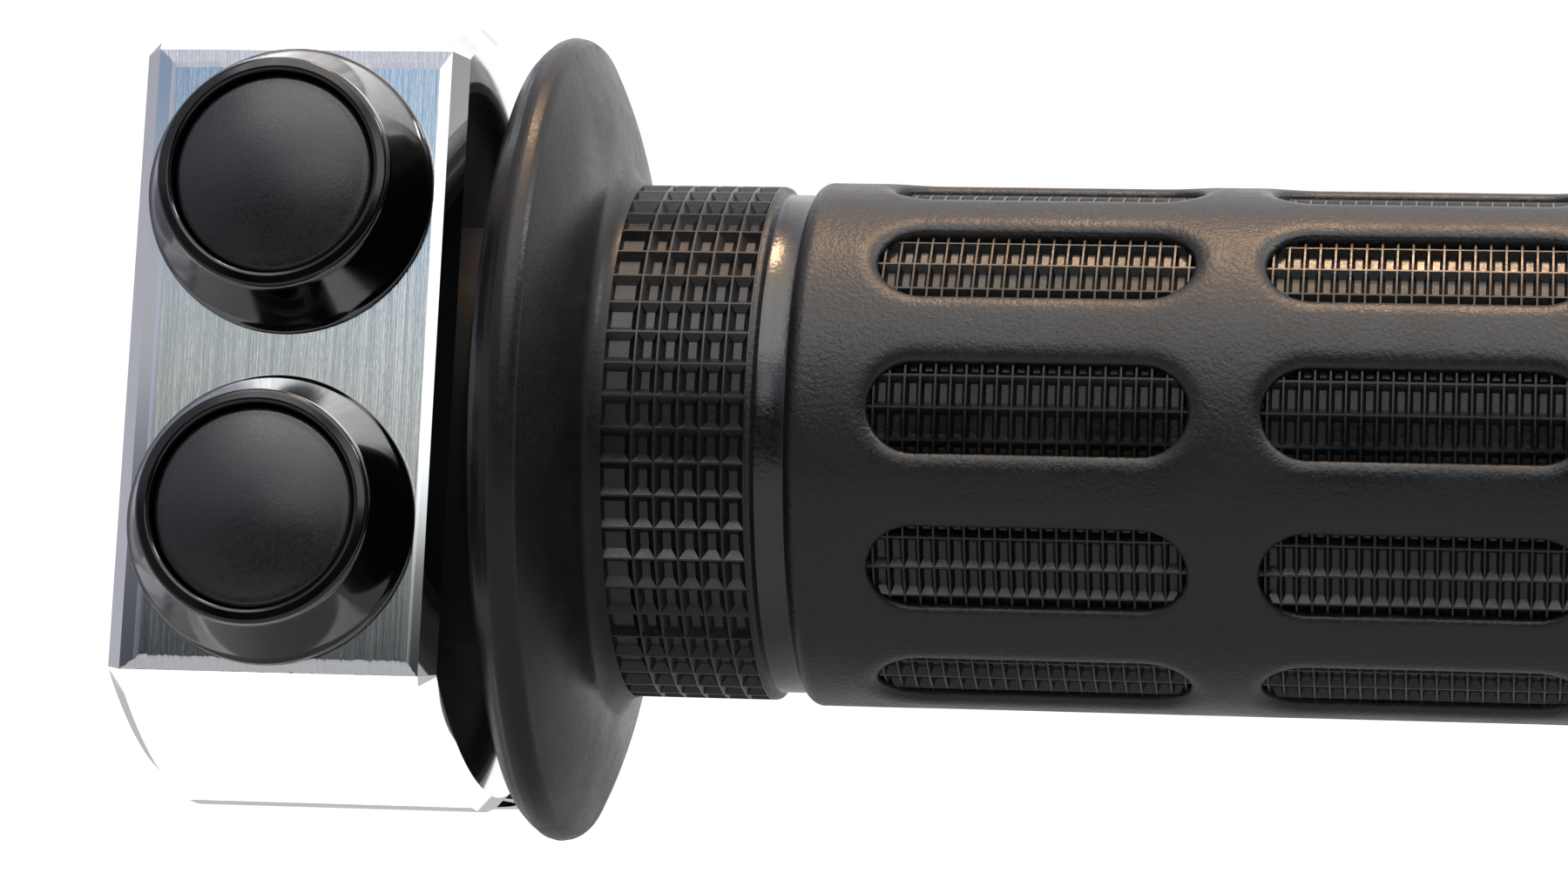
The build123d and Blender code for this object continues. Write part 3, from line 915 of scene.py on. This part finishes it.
class THROTTLE_OT_collar(bpy.types.Operator):
    """Mould the ribbed collar behind the flange"""

    bl_idname = "throttle.collar"
    bl_label = "Ribbed Collar"

    def execute(self, context):
        rubber = context.scene.throttle_rubber
        material = moulded_rubber("collar_rubber", rubber, 0.010 * MM, 0.28)
        mesh = build_collar(rubber).mesh("ribbed_collar")
        place_piece("ribbed_collar", mesh, "grip", material, sharp=math.radians(20))
        return {"FINISHED"}


class THROTTLE_OT_bezels(bpy.types.Operator):
    """Turn the glossy bezels"""

    bl_idname = "throttle.bezels"
    bl_label = "Bezels"

    def execute(self, context):
        sizes = context.scene.throttle_buttons
        material = glossy_black("bezel_black", sizes.bezel_colour)
        for button in BUTTONS:
            low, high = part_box(f"{button}_bezel")
            profile = bezel_profile(sizes, (high.x - low.x) / 2)
            mesh = lathe_on_face(profile, button_seat(button)).mesh(f"{button}_bezel_turned")
            place_piece(
                f"{button}_bezel_turned", mesh, "root", material,
                (f"{button}_bezel",), sharp=math.radians(40),
            )
        return {"FINISHED"}


class THROTTLE_OT_caps(bpy.types.Operator):
    """Mould the satin push-button caps"""

    bl_idname = "throttle.caps"
    bl_label = "Button Caps"

    def execute(self, context):
        sizes = context.scene.throttle_buttons
        material = satin_black("cap_black", sizes.cap_colour)
        for button in BUTTONS:
            mesh = lathe_on_face(cap_profile(sizes), button_seat(button)).mesh(f"{button}_cap_moulded")
            place_piece(
                f"{button}_cap_moulded", mesh, f"{button}_button", material,
                (f"{button}_button",), sharp=math.radians(40),
            )
        return {"FINISHED"}


class THROTTLE_OT_housing(bpy.types.Operator):
    """Polish the housing's halves and plate its screws"""

    bl_idname = "throttle.housing"
    bl_label = "Housing Finish"

    def execute(self, context):
        settings = context.scene.throttle_housing
        polished = polished_aluminium("housing_polished", settings)
        for node in ("front_housing", "rear_housing"):
            dress_node(node, polished, bevel=settings.edge_bevel)
        steel = turned_metal("screw_steel_plated", (0.46, 0.46, 0.47, 1), 0.28)
        for node in ("clamp_screw_upper", "clamp_screw_lower", "grub_screw", "dowel_upper", "dowel_lower"):
            dress_node(node, steel, bevel=settings.edge_bevel * 0.6)
        return {"FINISHED"}


class THROTTLE_OT_inner_parts(bpy.types.Operator):
    """Finish the tube, the cable wheel and the switches' inner parts"""

    bl_idname = "throttle.inner_parts"
    bl_label = "Inner Parts"

    def execute(self, context):
        nylon = moulded_plastic("tube_nylon_black", (0.012, 0.012, 0.013, 1), 0.65, 0.3)
        bronze = turned_metal("washer_bronze_turned", (0.62, 0.45, 0.24, 1), 0.3)
        seal = moulded_plastic("seal_rubber_soft", (0.015, 0.015, 0.015, 1), 0.6)
        phenolic = moulded_plastic("switch_phenolic", (0.07, 0.065, 0.06, 1), 0.4)
        brass = turned_metal("contact_brass_bright", (0.75, 0.56, 0.26, 1), 0.22)
        wire = turned_metal("spring_wire", (0.55, 0.55, 0.56, 1), 0.2)
        dress_node("throttle_tube", nylon)
        dress_node("cable_wheel", nylon)
        dress_node("thrust_washer", bronze)
        for button in BUTTONS:
            dress_node(f"{button}_bezel_seal", seal)
            dress_node(f"{button}_switch_body", phenolic)
            dress_node(f"{button}_return_spring", wire, sharp=math.radians(60))
            for piece in ("contact_bridge", "terminal_upper", "terminal_lower"):
                dress_node(f"{button}_{piece}", brass)
        return {"FINISHED"}


class THROTTLE_OT_stage(bpy.types.Operator):
    """Set the floor, the soft light and the camera"""

    bl_idname = "throttle.stage"
    bl_label = "Stage"

    def execute(self, context):
        settings = context.scene.throttle_stage
        make_floor(settings)
        make_sky(context.scene)
        make_lights()
        make_camera(context.scene, settings)
        context.scene.view_settings.view_transform = "Standard"
        return {"FINISHED"}


def make_floor(settings):
    """A round pale table top under the part."""
    radius, edge, turns = 500 * MM, 4 * MM, 96
    z = -settings.floor_drop
    shell = Shell()

    def ring(r, height):
        steps = [2 * math.pi * i / turns for i in range(turns)]
        return [Vector((r * math.cos(a), r * math.sin(a), height)) for a in steps]

    shell.strip(ring(radius - edge, z), ring(radius, z - edge))
    shell.strip(ring(radius, z - edge), ring(radius, z - 4 * edge))
    shell.fan(ring(radius - edge, z), Vector((0, 0, z)))
    mesh = shell.mesh("floor")
    finish = Finish("floor_pale")
    cloud = finish.noise(finish.placed(), 2, detail=2)
    finish.colour(finish.blend(cloud, (0.335, 0.350, 0.366, 1), (0.36, 0.376, 0.393, 1)))
    finish.set(Roughness=0.9)
    mesh.materials.append(finish.material)
    floor = bpy.data.objects.new("floor", mesh)
    bpy.context.scene.collection.objects.link(floor)


# The room's colours by height, from straight down (-1) to straight up (1), before ROOM_STRENGTH.
RIDER_SIDE = (
    (-1.0, (0.13, 0.13, 0.13)), (-0.6, (0.10, 0.10, 0.10)), (-0.25, (0.015, 0.015, 0.016)),
    (0.05, (0.012, 0.012, 0.013)), (0.27, (0.005, 0.006, 0.007)), (0.300, (0.008, 0.009, 0.010)),
    (0.316, (0.055, 0.058, 0.056)), (0.334, (0.142, 0.148, 0.138)), (0.360, (0.155, 0.161, 0.151)),
    (0.376, (0.100, 0.138, 0.172)), (0.392, (0.036, 0.075, 0.125)), (0.43, (0.10, 0.11, 0.14)),
    (0.57, (0.18, 0.18, 0.205)), (0.62, (0.82, 0.83, 0.84)), (0.94, (0.86, 0.84, 0.82)),
    (1.0, (1.0, 0.80, 0.64)),
)
FAR_SIDE = (
    (-1.0, (0.13, 0.13, 0.13)), (-0.7, (0.22, 0.22, 0.22)), (-0.35, (0.37, 0.37, 0.37)),
    (0.0, (0.39, 0.39, 0.39)), (0.5, (0.38, 0.38, 0.39)), (0.75, (0.36, 0.36, 0.37)),
    (0.90, (0.24, 0.24, 0.26)), (0.96, (0.50, 0.44, 0.40)), (1.0, (1.0, 0.80, 0.64)),
)
ROOM_STRENGTH = 3.0
WINDOW_PANE = (0.52, 0.53, 0.54, 1)
BLUE_CORNER = (0.155, 0.245, 0.345, 1)
DARK_CORNER = (0.004, 0.005, 0.006, 1)
RIGHT_WALL = (0.02, 0.02, 0.02, 1)
LEFT_WALL_LOW, LEFT_WALL_HIGH = (0.045, 0.048, 0.056, 1), (0.165, 0.168, 0.20, 1)
LEFT_WALL_END = (0.15, 0.148, 0.17, 1)


def make_sky(scene):
    """A plain white room to look at, lit from above and behind, with a window band on the rider's side."""
    world = bpy.data.worlds.new("studio")
    world.use_nodes = True
    kit = NodeKit(world.node_tree)
    plain = kit.tree.nodes["Background"]
    plain.inputs["Color"].default_value = (1, 1, 1, 1)
    plain.inputs["Strength"].default_value = 1.1
    direction = kit.split(kit.coords.outputs["Generated"])
    height = kit.ramp(direction["Z"], 0, 1, -1, 1)

    def by_height(stops):
        made = kit.node("ShaderNodeValToRGB")
        ramp = made.color_ramp
        while len(ramp.elements) < len(stops):
            ramp.elements.new(0.5)
        for element, (z, colour) in zip(ramp.elements, stops):
            element.position = (z + 1) / 2
            element.color = (*colour, 1)
        kit.link(height, made.inputs["Fac"])
        return made.outputs["Color"]

    def rising(axis, low, high):
        return kit.ramp(direction[axis], 0, 1, low, high)

    def falling(axis, low, high):
        return kit.ramp(direction[axis], 1, 0, low, high)

    side = rising("Y", -0.3, 0.25)
    across = kit.math("MINIMUM", rising("X", -0.163, -0.125), falling("X", 0.22, 0.30))
    tall = kit.math("MINIMUM", rising("Z", 0.32, 0.34), falling("Z", 0.48, 0.54))
    rider = kit.blend(kit.math("MULTIPLY", across, tall), by_height(RIDER_SIDE), WINDOW_PANE)
    glow = kit.math("MULTIPLY", rising("X", -0.245, -0.20), rising("Z", 0.370, 0.392))
    glow = kit.math("MULTIPLY", glow, falling("X", -0.17, -0.14))
    glow = kit.math("MULTIPLY", glow, falling("Z", 0.41, 0.45))
    rider = kit.blend(glow, rider, BLUE_CORNER)
    shade = kit.math("MULTIPLY", falling("X", -0.27, -0.22), falling("Z", 0.316, 0.345))
    rider = kit.blend(shade, rider, DARK_CORNER)
    rider = kit.blend(rising("X", 0.45, 0.75), rider, RIGHT_WALL)
    room = kit.blend(side, rider, by_height(FAR_SIDE))
    left = kit.blend(rising("Z", 0.285, 0.34), LEFT_WALL_LOW, LEFT_WALL_HIGH)
    left = kit.blend(falling("X", -0.80, -0.60), left, LEFT_WALL_END)
    room = kit.blend(falling("X", -0.40, -0.335), room, left)
    lit = kit.node("ShaderNodeBackground")
    kit.link(room, lit.inputs["Color"])
    bars = kit.node("ShaderNodeTexNoise", noise_dimensions="1D")
    bars.inputs["Scale"].default_value = 14
    bars.inputs["Detail"].default_value = 3
    kit.link(direction["X"], bars.inputs["W"])
    kit.link(kit.ramp(bars.outputs["Fac"], 0.7 * ROOM_STRENGTH, 1.3 * ROOM_STRENGTH), lit.inputs["Strength"])
    path = kit.node("ShaderNodeLightPath")
    mix = kit.node("ShaderNodeMixShader")
    kit.link(path.outputs["Is Camera Ray"], mix.inputs["Fac"])
    kit.link(lit.outputs["Background"], mix.inputs[1])
    kit.link(plain.outputs["Background"], mix.inputs[2])
    kit.link(mix.outputs["Shader"], kit.tree.nodes["World Output"].inputs["Surface"])
    scene.world = world


def area_light(name, place, target, size, power, colour=(1, 1, 1)):
    data = bpy.data.lights.new(name, "AREA")
    data.shape = "RECTANGLE"
    data.size, data.size_y = size
    data.energy = power
    data.color = colour
    light = bpy.data.objects.new(name, data)
    light.location = place
    light.rotation_euler = (Vector(target) - Vector(place)).to_track_quat("-Z", "Y").to_euler()
    bpy.context.scene.collection.objects.link(light)
    return light


def make_lights():
    """Two cards that only the housing's halves reflect, and two small lamps above."""
    middle = (0.02, 0, 0)
    housing = bpy.data.collections.new("housing_halves")
    for name in ("front_housing", "rear_housing"):
        housing.objects.link(bpy.data.objects[name])
    cards = (
        area_light("underside_card", (-0.12, 0.015, -0.070), (-0.12, 0.015, 1.0), (0.36, 0.23), 0.245),
        area_light("face_card", (0.0, -0.60, 0.022), (0.0, 0.0, 0.022), (1.30, 0.185), 0.30),
    )
    for card in cards:
        card.visible_camera = False
        card.light_linking.receiver_collection = housing
    area_light("warm_lamp", (0.05, 0.08, 0.75), middle, (0.14, 0.10), 1.8, (1.0, 0.62, 0.36))
    area_light("right_lamp", (0.55, -0.10, 0.55), middle, (0.20, 0.12), 1.2, (0.96, 0.98, 1.0))


def make_camera(scene, settings):
    yaw, roll = settings.camera_yaw, settings.camera_roll
    forward = Vector((-math.sin(yaw), math.cos(yaw), 0))
    level = Vector((math.cos(yaw), math.sin(yaw), 0))
    right = level * math.cos(roll) + Vector((0, 0, math.sin(roll)))
    up = right.cross(forward)
    turn = Matrix((right, up, -forward)).transposed()
    data = bpy.data.cameras.new("camera")
    data.sensor_fit = "HORIZONTAL"
    data.sensor_width = 36
    data.lens = settings.lens
    data.clip_start = 0.01
    camera = bpy.data.objects.new("camera", data)
    camera.matrix_world = Matrix.Translation(Vector(settings.camera_place)) @ turn.to_4x4()
    scene.collection.objects.link(camera)
    scene.camera = camera


class THROTTLE_PT_panel(bpy.types.Panel):
    """Pieces of the throttle grip and their settings"""

    bl_label = "Throttle Grip"
    bl_idname = "THROTTLE_PT_panel"
    bl_space_type = "VIEW_3D"
    bl_region_type = "UI"
    bl_category = "Throttle Grip"

    def draw(self, context):
        layout = self.layout
        for group in ("throttle_rubber", "throttle_buttons", "throttle_housing", "throttle_stage"):
            settings = getattr(context.scene, group)
            box = layout.box()
            for key in settings.bl_rna.properties.keys():
                if key not in ("rna_type", "name"):
                    box.prop(settings, key)
        for operator in OPERATORS:
            layout.operator(operator.bl_idname)


OPERATORS = (
    THROTTLE_OT_grip_skin,
    THROTTLE_OT_window_mats,
    THROTTLE_OT_collar,
    THROTTLE_OT_bezels,
    THROTTLE_OT_caps,
    THROTTLE_OT_housing,
    THROTTLE_OT_inner_parts,
    THROTTLE_OT_stage,
)
SETTINGS = {
    "throttle_rubber": RubberSettings,
    "throttle_buttons": ButtonSettings,
    "throttle_housing": HousingSettings,
    "throttle_stage": StageSettings,
}
CLASSES = (*SETTINGS.values(), *OPERATORS, THROTTLE_PT_panel)


def register():
    for item in CLASSES:
        bpy.utils.register_class(item)
    for name, group in SETTINGS.items():
        setattr(bpy.types.Scene, name, PointerProperty(type=group))


def unregister():
    for name in SETTINGS:
        delattr(bpy.types.Scene, name)
    for item in reversed(CLASSES):
        bpy.utils.unregister_class(item)


def main():
    register()
    bpy.ops.throttle.grip_skin()
    bpy.ops.throttle.window_mats()
    bpy.ops.throttle.collar()
    bpy.ops.throttle.bezels()
    bpy.ops.throttle.caps()
    bpy.ops.throttle.housing()
    bpy.ops.throttle.inner_parts()
    bpy.ops.throttle.stage()


if __name__ == "__main__":
    main()
